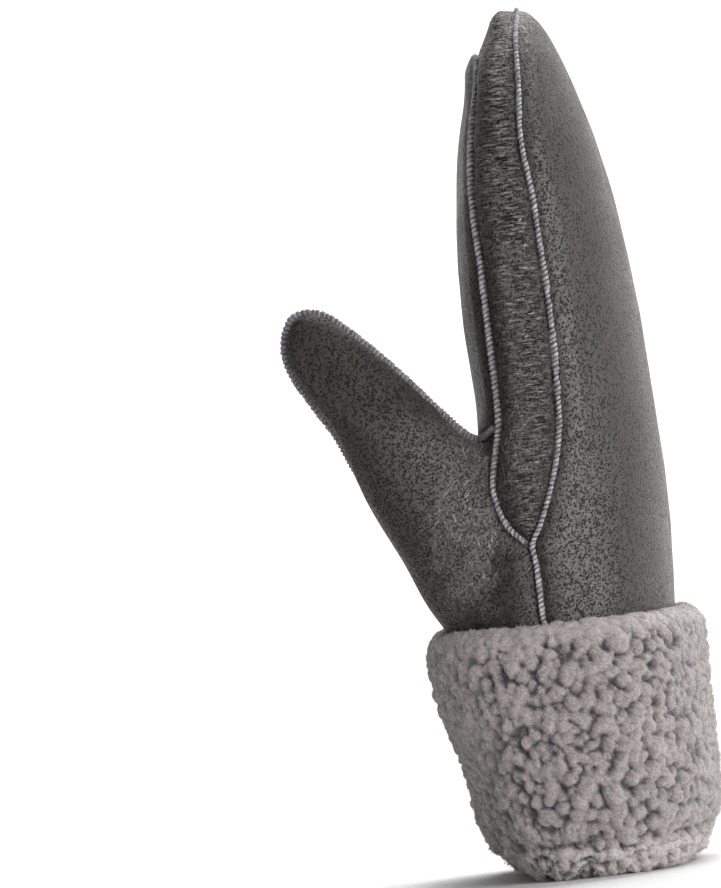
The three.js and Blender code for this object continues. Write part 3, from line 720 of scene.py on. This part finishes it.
def wool_material():
    made, shader = material("wool", (0.3, 0.26, 0.255), 0.95)
    n = Nodes(made)
    fibre = n.noise(1500.0, 5.0, 0.8)
    colour = n.mix(n.ramp(n.noise(120.0, 4.0), 0.3, 0.7), WOOL_DARK, WOOL_PALE)
    # Painted light, then the fibres' own tones, then painted shade
    colour = n.mix(n.attribute("painted_light"), colour, WOOL_PAINTED_LIGHT)
    colour = n.mix(n.ramp(fibre, 0.36, 0.52, 0.7, 0.0), colour, FIBRE_DARK)
    colour = n.mix(n.ramp(fibre, 0.5, 0.65, 0.0, 0.6), colour, FIBRE_PALE)
    colour = n.mix(n.attribute("hollow_shade"), colour, WOOL_HOLLOW_SHADE)
    n.link(colour, shader.inputs["Base Color"])
    n.link(n.bump(fibre, 0.0008, 0.8, n.bump(n.noise(520.0, 3.0), 0.001, 0.6)),
           shader.inputs["Normal"])
    shader.inputs["Sheen Weight"].default_value = 0.6
    shader.inputs["Sheen Roughness"].default_value = 0.6
    shader.inputs["Specular IOR Level"].default_value = 0.1
    return made


leather, thread, wool = leather_material(), thread_material(), wool_material()


def piece(obj, nodes, finish):
    """obj as a piece of the mitten, in the place of the named solids."""
    obj.data.materials.clear()
    obj.data.materials.append(finish)
    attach(obj, "root")
    if nodes:
        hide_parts(*nodes)


def mark(obj, name, values):
    """Values from 0 to 1 kept on obj's points, for its material to read."""
    layer = obj.data.attributes.new(name, "FLOAT", "POINT")
    layer.data.foreach_set("value", np.clip(values, 0, 1).astype(np.float32))


# Leather panels, cut from the form under the seams
PANELS = ["back_panel", "side_gusset", "palm_panel", "thumb_panel"]
side_back, side_palm, side_thumb = (seam_values[k] for k in ("back", "palm", "thumb"))
panel_of = np.where(side_back > 0, 0, np.where(side_palm > 0, 1, np.where(side_thumb > 0, 2, 3)))
own = to_own(co)
above, to_back = own[:, 2], form_normals[:, 0]

# Where the leather gets painted light on its strokes and bent places, where it is matt and shaded,
# where it gets painted shade, and how strongly it is grained, each from 0 to 1.
# over is the share of the way across the gusset, from the back panel to the palm panel.
over = np.clip(-side_back / np.where(on_gusset, side_palm - side_back, 1), 0, 1)
# Painted light on the gusset's half next to the back panel, and on strokes just beside the seams
lit_strokes = np.where(on_gusset, 0.15 + 0.85 * hill(over, 0.32, 0.3), 0)
lit_strokes = np.maximum(lit_strokes, 0.15 * hill(to_seam, 3.2, 2.5)
                     * smooth(wave_noise(own, 15, 21.0), -0.2, 0.3))
lit_strokes = lit_strokes * visible * smooth(wave_noise(own, 9, 20.0), -1.0, -0.1)
# Painted light where the thumb bends, in the crotch and at the tip, with crease highlights drawn on
# it
bent_and_lit = np.maximum(bend * smooth(wave_noise(own, 7, 22.0), -0.5, 0.1), 0.8 * crotch_fold)
bent_and_lit = np.maximum(bent_and_lit, 0.22 * smooth(above, 225, 270) * smooth(own[:, 0], 4, 12)
                  * smooth(wave_noise(own, 10, 24.0), -0.3, 0.4))
# Painted light on the low part of the gusset, which lies in shade
low_gusset = on_gusset * hill(above, 138, 18) * smooth(over, 0.2, 0.5)
bent_and_lit = np.maximum(bent_and_lit, 0.7 * low_gusset * (own[:, 1] < 0))
# Less gloss and painted shade where the hide faces the dim side and next to the crotch under the
# thumb
matt_and_shaded = smooth(-to_back, 0.05, 0.6)
matt_and_shaded = np.maximum(matt_and_shaded, 0.95 * smooth(above, CROTCH_Z - 2, CROTCH_Z + 14)
                  * (side_palm < 0)) * (1 - 0.5 * smooth(above, 180, 240))
# Painted shade on the gusset's half next to the palm panel, on the back panel where it faces right,
# on the matt and shaded side, and a little over all the palm side and thumb
painted_shade = np.where(on_gusset, 0.65 * smooth(over, 0.4, 0.85) * smooth(above, 105, 165),
                smooth(to_back, 0.3, 0.9) * (side_back > 0))
painted_shade = np.maximum(np.maximum(painted_shade, 0.95 * matt_and_shaded), 0.3 * (side_palm < 0))
# The grain is weaker where the back panel faces right, a painted sheen that washes out its pits
grain_and_sheen = np.where(side_back > 0, 0.8 - 0.3 * smooth(to_back, 0.55, 0.97), 0.82)
grain_and_sheen = np.where(on_gusset, 1.0, grain_and_sheen) + 0.06 * wave_noise(own, 12, 23.0)
masks = {"lit_strokes": lit_strokes, "bent_and_lit": bent_and_lit, "grain_and_sheen": grain_and_sheen, "painted_shade": painted_shade, "matt_and_shaded": matt_and_shaded}

for number, name in enumerate(PANELS):
    mine = []
    for face in faces:
        votes = [panel_of[v] for v in face]
        if max(set(votes), key=votes.count) == number and min(above[v] for v in face) > LOW:
            mine.append(face)
    used = sorted({v for face in mine for v in face})
    index = {v: i for i, v in enumerate(used)}
    obj = make_mesh(name + "_skin", co[used], [[index[v] for v in face] for face in mine])
    shade_smooth(obj)
    for mask, values in masks.items():
        mark(obj, mask, values[used])
    piece(obj, [name], leather)

form_tree = tree_of(form)


# Welts: a ridge of two hide edges, whipped over with thread
def frames_of(line):
    """Unit vectors along a line, out from the hide and to the side, at each of its points."""
    along = np.gradient(line, axis=0)
    along /= np.linalg.norm(along, axis=1)[:, None]
    out = np.array([form_tree.find_nearest(p)[1] for p in line])
    for _ in range(10):
        out[1:-1] = out[1:-1] * 0.5 + (out[:-2] + out[2:]) * 0.25
    out -= along * (out * along).sum(1)[:, None]
    out /= np.linalg.norm(out, axis=1)[:, None]
    return along, out, np.cross(along, out)


# Outlines across a seam, to the side and out from the hide
RIDGE = [(-0.45, -1.6), (-0.52, -0.3), (-0.5, 0.7), (-0.4, 1.3), (-0.15, 1.55), (0, 1.45),
         (0.15, 1.55), (0.4, 1.3), (0.5, 0.7), (0.52, -0.3), (0.45, -1.6)]
STITCH = [(-0.55, -0.9), (-0.64, 0.1), (-0.6, 0.9), (-0.42, 1.5), (0, 1.75), (0.42, 1.5),
          (0.6, 0.9), (0.64, 0.1), (0.55, -0.9)]
PITCH, STITCH_LEAN, THREAD_RADIUS = 1.55, 1.35, 0.28
THREAD_NARROW, THREAD_WIDE, THREAD_END = 0.7, 2.0, 0.75  # a stitch's section, and its thin ends
THREAD_SIDES, RIDGE_STEP, LEAST_RISE = 6, 2, 0.2
# seam: share of the full height, darkness of its stitches, how far it sinks on the tip
WELTS = {"back": (0.9, 0.0, 0), "palm": (0.5, 0.15, 0.95), "thumb": (0.65, 0.45, 0)}


def welt(name, line, tall, dark, sinks):
    along, out, side = frames_of(line)
    height = to_own(line)[:, 2]
    rise = smooth(height, CUFF_HEIGHT - 3, CUFF_HEIGHT + 3) * tall
    rise = rise * (1 - smooth(height, 242, 263) * sinks)
    rise = rise * (1 - 0.6 * smooth(height, 262, 276))
    rise = LEAST_RISE + (1 - LEAST_RISE) * rise
    verts = []
    rows = np.arange(0, len(line), RIDGE_STEP)
    for r in rows:
        wobble = 0.12 * math.sin(r * 0.37) + 0.1 * math.sin(r * 0.11 + 1)
        for a, h in RIDGE:
            h = h * rise[r] - 0.12 if h > 0 else h
            verts.append(line[r] + (side[r] * (a + wobble) + out[r] * h) * MM)
    quads = grid_faces(len(rows), len(RIDGE), closed=False)
    for row in (0, len(rows) - 1):
        cap = [row * len(RIDGE) + k for k in range(len(RIDGE))]
        quads.append(cap if row else cap[::-1])
    ridge_points, last = len(verts), len(STITCH) - 1
    random = np.random.default_rng(3)
    at = 1.0
    while at < len(line) * LINE_STEP - 1:
        jitter = random.normal(0, 0.09, 3)
        lean = STITCH_LEAN + random.normal(0, 0.25)
        radius = THREAD_RADIUS + random.normal(0, 0.035)
        ring_start = len(verts)
        for k, (a, h) in enumerate(STITCH):
            place = (at + (k / last - 0.5) * lean + jitter[0]) / LINE_STEP
            place = min(max(place, 0), len(line) - 1.001)
            i, t = int(place), place - int(place)
            centre = line[i] * (1 - t) + line[i + 1] * t
            h = h * rise[i] if h > 0 else h
            centre = centre + (side[i] * (a + jitter[1] * 0.4)
                               + out[i] * (h + jitter[2] * 0.5)) * MM
            before, after = STITCH[max(k - 1, 0)], STITCH[min(k + 1, last)]
            run = (side[i] * (after[0] - before[0]) + out[i] * (after[1] - before[1])
                   + along[i] * 0.25 * lean)
            run /= np.linalg.norm(run)
            across = np.cross(run, along[i])
            across /= np.linalg.norm(across)
            beside = np.cross(run, across)
            thick = radius * (THREAD_END if k in (0, last) else 1)
            for angle in np.arange(THREAD_SIDES) * (2 * math.pi / THREAD_SIDES):
                verts.append(centre + (across * math.cos(angle) * thick * THREAD_NARROW
                                       + beside * math.sin(angle) * thick * THREAD_WIDE) * MM)
        quads += grid_faces(len(STITCH), THREAD_SIDES, start=ring_start)
        at += PITCH + random.normal(0, 0.05)
    obj = make_mesh(name, verts, quads)
    shade_smooth(obj)
    mark(obj, "gap", np.where(np.arange(len(verts)) < ridge_points, 1, dark))
    return obj


for name, line in lines.items():
    piece(welt(f"seam_{name}_welt", line, *WELTS[name]), [f"seam_{name}"], thread)

# Cuff of curly wool. Its outline starts at the top edge, goes down outside and under the hem.
# UP is in cuff heights and OUT in millimetres out from the hand.
OUTER_UP = [0.985, 0.996, 1.003, 1.004, 1.0, 0.99, 0.974, 0.953, 0.925, 0.88, 0.14,
            0.1, 0.065, 0.035, 0.014, 0.004, 0.0, 0.0, 0.006, 0.03, 0.08, 0.14]
OUTER_OUT = [-0.6, 0.6, 1.8, 3.2, 4.6, 6.0, 7.2, 8.1, 8.6, 8.8, 8.8,
             8.5, 7.7, 6.3, 4.5, 2.7, 0.8, -2.6, -4.6, -6.4, -7.6, -8.4]
LINING_UP, LINING_OUT = [0.05, 0.1, 0.18, 1.0], [-6.2, -7.6, -8.1, -8.1]
CUFF_ROWS = 5  # rows of HAND up to the cuff's top


def cuff_grid(up, out, step, count):
    """Points on the cuff at even steps along an outline, with the places they come from."""
    run = np.concatenate([[0], np.cumsum(np.hypot(np.diff(up) * CUFF_HEIGHT, np.diff(out)))])
    at = np.linspace(0, run[-1], int(run[-1] / step))
    up, out = np.interp(at, run, up), np.interp(at, run, out)
    place = np.interp(up, HAND[:CUFF_ROWS, 0], np.arange(CUFF_ROWS))
    low, high, widest, half, _ = hand_section(place, 0)
    section = (low - out, high + out, widest, half + out, up * CUFF_HEIGHT)
    grid = hand_loops(section, count)
    normal = np.cross(np.roll(grid, -1, axis=1) - np.roll(grid, 1, axis=1),
                      np.gradient(grid, axis=0))
    normal /= np.linalg.norm(normal, axis=2)[:, :, None]
    return grid, normal, np.repeat(up, count), np.repeat(out, count)


TRIES = 9e5  # places tried for curls of 1 mm; larger curls take fewer
LEAST_CURL, CURLS_OVERLAP = 0.6, 0.4


def curls(points, spacing, uneven, seed):
    """Middles and sizes of curls strewn over points, kept apart from each other."""
    random = np.random.default_rng(seed)
    spread = wave_noise(points[::7], 16, seed)
    spread_tree = tree_of_points(points[::7])
    largest = spacing * (1 + 1.8 * uneven)
    middles, sizes, cells = [], [], {}
    for i in random.permutation(len(points))[:int(TRIES / spacing ** 2)]:
        p = points[i]
        size = spacing * (1 + uneven * (spread[spread_tree.find(p)[1]] + random.normal(0, 0.6)))
        size = min(max(size, spacing * LEAST_CURL), largest)
        key = tuple((p // largest).astype(int))
        near = (q for dx in (-1, 0, 1) for dy in (-1, 0, 1) for dz in (-1, 0, 1)
                for q in cells.get((key[0] + dx, key[1] + dy, key[2] + dz), ()))
        if all(np.sum((p - q) ** 2) > (CURLS_OVERLAP * (size + other)) ** 2 for q, other in near):
            cells.setdefault(key, []).append((p, size))
            middles.append(p)
            sizes.append(size)
    return np.array(middles), np.array(sizes), tree_of_points(middles)


CURL_RADIUS, LONGEST_CURL, NEAREST = 0.57, 1.75, 7


def balls(points, strewn, squash, uneven, seed):
    """Height of the nearest curls over each point. Each is a flattened ball, drawn out a little
    in a direction of its own."""
    middles, sizes, tree = strewn
    random = np.random.default_rng(seed)
    axis = random.normal(0, 1, (len(middles), 3)) + (0, 0, 0.6)
    axis /= np.linalg.norm(axis, axis=1)[:, None]
    drawn = 1 - 1 / random.uniform(1, LONGEST_CURL, len(middles)) ** 2
    lift = random.normal(0, uneven, len(middles))
    near = np.array([[n for _, n, _ in tree.find_n(p, NEAREST)] for p in points])
    gap = points[:, None] - middles[near]
    apart = (gap ** 2).sum(2) - drawn[near] * (gap * axis[near]).sum(2) ** 2
    radius = CURL_RADIUS * sizes[near]
    top = np.sqrt(np.clip(1 - apart / radius ** 2, 0, 1)) * radius * squash
    return np.max(np.where(top > 0, top + lift[near], 0), axis=1)


GRID_STEP, AROUND = 0.72, 480
CLUMP_SIZE, KNOB_SIZE = 4.3, 2.1
grid, grid_normals, flat_up, flat_out = cuff_grid(OUTER_UP, OUTER_OUT, GRID_STEP, AROUND)
rows = len(grid)
ring = grid_normals[rows // 3] * (grid[rows // 3] - grid[rows // 3].mean(0))
if ring.sum() < 0:
    grid_normals = -grid_normals
flat, flat_normals = grid.reshape(-1, 3), grid_normals.reshape(-1, 3)
warp = np.stack([wave_noise(flat, 3.4, seed) for seed in (1.0, 2.0, 3.0)], axis=1)
fine_warp = np.stack([wave_noise(flat, 1.4, seed) for seed in (4.0, 5.0, 6.0)], axis=1)
clump = balls(flat + warp * 0.9 + fine_warp * 0.35, curls(flat, CLUMP_SIZE, 0.3, 8), 1.25, 0.25, 1)
knob = balls(flat + fine_warp * 0.4, curls(flat, KNOB_SIZE, 0.25, 9), 0.6, 0.08, 2)

# Masks over the cuff: its round rim, its hem, its inside, where it is shorn or deep, and partings
height, across = flat_up * CUFF_HEIGHT, flat[:, 0]
outer = flat_out > 0
rim = smooth(flat_up, 0.9, 0.985) * outer
hem = (1 - smooth(height, 6, 13)) * (flat_out > -2)
inside = smooth(-flat_out, 1, 6)
shorn = 0.25 * (1 - smooth(across, -34, -12)) + 0.2 * smooth(across, 22, 38)
deep = np.clip(0.9 + 0.3 * wave_noise(flat, 22, 7.0) - shorn, 0.35, 1.1)
deep *= (1 - 0.75 * rim) * (1 - 0.6 * inside)
crease = hill(height - 11.5 - 2.2 * wave_noise(flat, 12, 11.0), 0, 1.1) * outer
parting = hill(wave_noise(flat * (1, 1, 0.55), 17, 14.0), -0.05, 0.07) * outer
CLUMP_BASE, CREASE_DEPTH, PARTING_DEPTH = 2.2, 1.1, 0.9
raise_by = (clump * deep - CLUMP_BASE * deep + knob * (1 - 0.4 * rim)
            + 0.5 * wave_noise(flat, 11, 12.0) * (1 - rim)
            - (CREASE_DEPTH * crease + PARTING_DEPTH * parting) * deep)
moved = flat + flat_normals * raise_by[:, None]

# The hem is ragged and turns up at the photograph's two corners
HEM_RAGGED, HEM_LEFT, HEM_RIGHT = 2.8, 7, 4
ragged = np.clip(0.3 + 1.6 * wave_noise(flat, 7.5, 13.0), 0, 1)
corner = HEM_LEFT * smooth(-across, 17, 34) + HEM_RIGHT * smooth(across, 26, 38)
moved[:, 2] += (1 - smooth(height, 1, 12)) * (HEM_RAGGED * ragged + corner)
moved[:, 2] = np.maximum(moved[:, 2], 0.1 * (1 - np.clip(knob, 0, 1)))
cuff = make_mesh("cuff_wool", to_scene(moved), grid_faces(rows, AROUND))
shade_smooth(cuff)

# Painted shade in the hollows between the clumps and knobs, in the crease and the partings, lighter
# towards the left
dark = 1 - smooth(clump - 0.8 * parting - 0.8 * crease, 0.5, 2.1)
dark *= 1 - 0.6 * (1 - smooth(across, -38, -24))
dark = 0.95 * dark * np.clip(deep * 1.1, 0, 1) + 0.33 * (1 - smooth(knob, 0, 0.5)) * (1 - rim)
mark(cuff, "hollow_shade", dark)
# Painted light on the hem, a little on the top rim and on the tops of the larger clumps
mark(cuff, "painted_light", 1.2 * hem + 0.25 * rim + 0.12 * smooth(clump, 1.6, 2.8))
piece(cuff, ["cuff"], wool)

# Flattened wool round the mouth
LINING_STEP, LINING_AROUND, LINING_CURL = 1.6, 200, 5
grid, _, _, _ = cuff_grid(LINING_UP, LINING_OUT, LINING_STEP, LINING_AROUND)
lining_points = grid.reshape(-1, 3)
centre = grid.mean(axis=1, keepdims=True)
inward = ((centre - grid) / np.linalg.norm(centre - grid, axis=2)[:, :, None]).reshape(-1, 3)
tuft = balls(lining_points, curls(lining_points, LINING_CURL, 0.3, 10), 0.5, 0.1, 3)
lining = make_mesh("mouth_wool", to_scene(lining_points + inward * (tuft - 0.9)[:, None]),
                   grid_faces(len(grid), LINING_AROUND))
shade_smooth(lining)
# Painted shade between the tufts
mark(lining, "hollow_shade", 0.8 * (1 - smooth(tuft, 0.2, 1.3)))
piece(lining, [], wool)


# Loose fibres that stand off the curls, each a bent strip of two triangles
def fibres(name, base, normal, count, length, width, seed):
    random = np.random.default_rng(seed)
    pick = random.integers(0, len(base), count)
    start = base[pick] + random.normal(0, 0.25, (count, 3)) - normal[pick] * 0.25
    heading = normal[pick] * random.uniform(0.3, 1.2, (count, 1))
    heading = heading + random.normal(0, 0.7, (count, 3))
    heading /= np.linalg.norm(heading, axis=1)[:, None]
    aside = np.cross(heading, random.normal(0, 1, (count, 3)))
    aside /= np.linalg.norm(aside, axis=1)[:, None]
    reach = random.uniform(0.4, 1.0, (count, 1)) * length
    wide = 0.5 * width * np.cross(heading, aside)
    middle = start + heading * reach * 0.55 + aside * reach * 0.12
    end = start + heading * reach * 0.85 + aside * reach * 0.45
    points = np.stack([start - wide, start + wide, middle, end], axis=1).reshape(-1, 3)
    points[:, 2] = np.maximum(points[:, 2], 0.02)
    first = np.arange(count)[:, None] * 4
    shapes = (first + [0, 1, 2]).tolist() + (first + [1, 3, 2]).tolist()
    return make_mesh(name, to_scene(points), shapes)


FIBRES, FIBRE_LENGTH, FIBRE_WIDTH = 98000, 1.1, 0.13
HEM_FIBRES, HEM_FIBRE_LENGTH = 9000, 1.7
outward = normals(cuff.data)
if (outward * flat_normals).sum() < 0:
    outward = -outward
chance = np.random.default_rng(7).random(len(flat))
woolly = np.flatnonzero((flat_out > 0.5) & (chance < 0.2 + 0.4 * clump))
fuzz = fibres("cuff_fuzz", moved[woolly], outward[woolly], FIBRES, FIBRE_LENGTH, FIBRE_WIDTH, 5)
# Each fibre gets a random share of painted light, and some get painted shade, as if turned towards
# or away from the light
fibre_random = np.repeat(np.random.default_rng(11).random(FIBRES), 4)
mark(fuzz, "painted_light", 0.7 * fibre_random)
mark(fuzz, "hollow_shade", 0.4 * (fibre_random < 0.3))
piece(fuzz, [], wool)
loose = woolly[hem[woolly] > 0.4]
tufts = fibres("hem_fuzz", moved[loose], outward[loose], HEM_FIBRES, HEM_FIBRE_LENGTH,
               FIBRE_WIDTH, 6)
# The hem's tufts get painted light
mark(tufts, "painted_light", np.full(len(tufts.data.vertices), 0.9))
piece(tufts, [], wool)

for helper in (hand_surface, thumb_surface, form):
    bpy.data.objects.remove(helper)

# Floor that curves up into a backdrop, in metres. It lies far enough back for a camera to go
# right round the mitten.
BEND_AT, BEND_RADIUS, TOP, SIDE = 3.2, 1.2, 5.0, 7.0
profile = [(-SIDE, 0.0), (BEND_AT, 0.0)]
profile += [(BEND_AT + BEND_RADIUS * math.sin(t), BEND_RADIUS * (1 - math.cos(t)))
            for t in np.linspace(0.05, math.pi / 2, 24)]
profile.append((BEND_AT + BEND_RADIUS, TOP))
sweep = [(x, y, z) for y, z in profile for x in (-SIDE, SIDE)]
backdrop = make_mesh("backdrop", sweep, grid_faces(len(profile), 2, closed=False))
shade_smooth(backdrop)
pale, pale_shader = material("pale", (0.88, 0.88, 0.88), 0.9)
pale_shader.inputs["Specular IOR Level"].default_value = 0.0
backdrop.data.materials.append(pale)

# The air is dim on the palm's side and brighter on the other, as from a window
world = bpy.data.worlds.new("studio")
bpy.context.scene.world = world
world.use_nodes = True
air = world.node_tree.nodes["Background"]
air.inputs["Color"].default_value = (1, 1, 1, 1)
ways = world.node_tree.nodes.new("ShaderNodeTexCoord")
split = world.node_tree.nodes.new("ShaderNodeSeparateXYZ")
dim = world.node_tree.nodes.new("ShaderNodeMapRange")
for socket, value in (("From Min", -0.7), ("From Max", 0.5), ("To Min", 0.12), ("To Max", 0.4)):
    dim.inputs[socket].default_value = value
for source, target in ((ways.outputs["Generated"], split.inputs[0]),
                       (split.outputs["X"], dim.inputs["Value"]),
                       (dim.outputs["Result"], air.inputs["Strength"])):
    world.node_tree.links.new(source, target)


def softbox(name, place, aim, size, power):
    """A soft rectangular light at a place, turned towards aim."""
    light = bpy.data.lights.new(name, "AREA")
    light.shape = "RECTANGLE"
    light.size, light.size_y = size
    light.energy = power
    obj = bpy.data.objects.new(name, light)
    bpy.context.scene.collection.objects.link(obj)
    obj.location = place
    obj.rotation_euler = (Vector(aim) - Vector(place)).to_track_quat("-Z", "Y").to_euler()


softbox("key", (0.75, -1.35, 0.9), (0, 0, 0.12), (0.8, 0.8), 9)
softbox("rim", (0.8, 0.6, 0.3), (0.03, 0, 0.16), (0.4, 1.0), 1.5)
softbox("low", (0.6, -1.25, 0.06), (0, 0, 0.0), (0.9, 0.1), 8)
softbox("behind", (1.0, 2.0, 3.2), (0.8, 2.4, 0), (3.0, 3.0), 190)

bpy.context.scene.view_settings.view_transform = "Standard"
